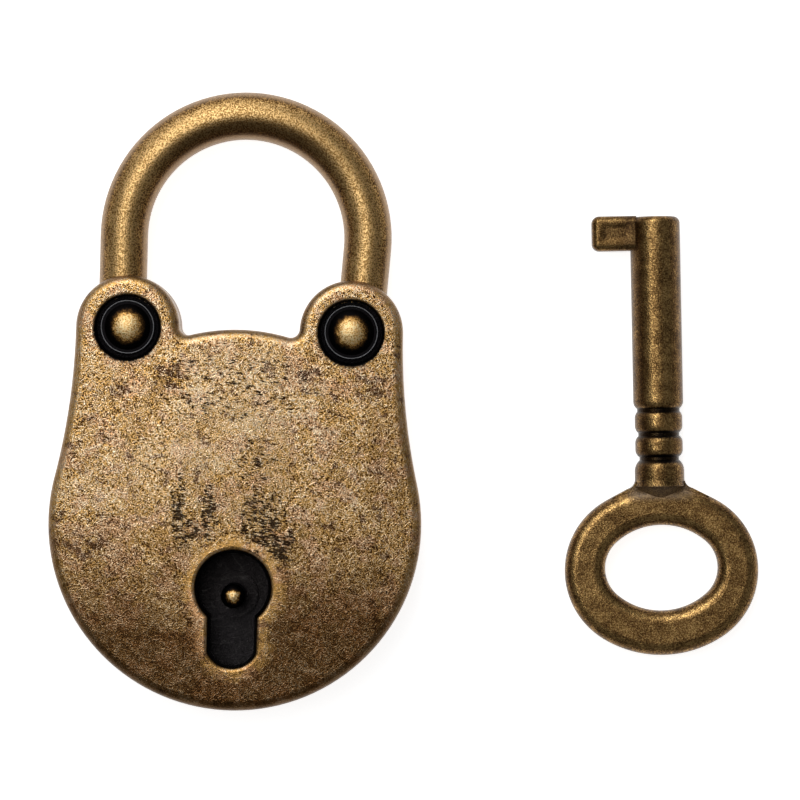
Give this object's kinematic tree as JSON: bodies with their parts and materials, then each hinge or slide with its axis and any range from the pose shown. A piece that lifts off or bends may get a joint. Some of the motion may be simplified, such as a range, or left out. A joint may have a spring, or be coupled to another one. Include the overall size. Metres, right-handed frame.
{
  "type": "padlock",
  "caption": "Small antique bronze padlock with two round ears, a hinged bow shackle, a keyhole with drill pin, and its barrel key lying beside it.",
  "frame": {"origin": "centre of the drill pin's axis on the flat back face", "axes": "+X to the right and +Y towards the shackle as seen from the front, +Z out of the front face"},
  "size_m": [0.0731, 0.0635, 0.009],
  "materials": {
    "case_bronze": "antique bronze plating, mottled and rubbed",
    "shackle_bronze": "antique bronze plating, smooth with dark flanks",
    "rivet_bronze": "antique bronze, domes rubbed bright",
    "key_bronze": "antique bronze plating, rubbed on the high edges",
    "blackened_steel": "blackened",
    "plain_steel": "plain bright steel"
  },
  "bodies": {
    "case": {"front_case": "case_bronze", "back_case": "case_bronze", "pivot_rivet": "rivet_bronze", "closing_rivet": "rivet_bronze", "pivot_rivet_washer": "blackened_steel", "closing_rivet_washer": "blackened_steel", "drill_pin": "rivet_bronze", "latch_pivot_pin": "plain_steel", "latch_stop_pin": "plain_steel", "latch_spring": "plain_steel", "spring_post": "plain_steel", "left_dowel": "plain_steel", "right_dowel": "plain_steel", "crown_dowel": "plain_steel"},
    "shackle": {"shackle": "shackle_bronze"},
    "latch": {"latch_lever": "blackened_steel"},
    "key": {"key": "key_bronze"}
  },
  "joints": [
    {"name": "shackle_swing", "type": "hinge", "parent": "case", "child": "shackle", "pos_m": [-0.01145, 0.0273, 0.0045], "axis": [0, 0, 1], "range_deg": [0, 75]},
    {"name": "latch_throw", "type": "hinge", "parent": "case", "child": "latch", "pos_m": [0.0104, 0.008, 0.0034], "axis": [0, 0, -1], "range_deg": [0, 4.4], "deforming": ["latch_spring"]},
    {"name": "key_lift", "type": "slide", "parent": "case", "child": "key", "axis": [0, 0, 1], "range_m": [0, 0.04]}
  ]
}
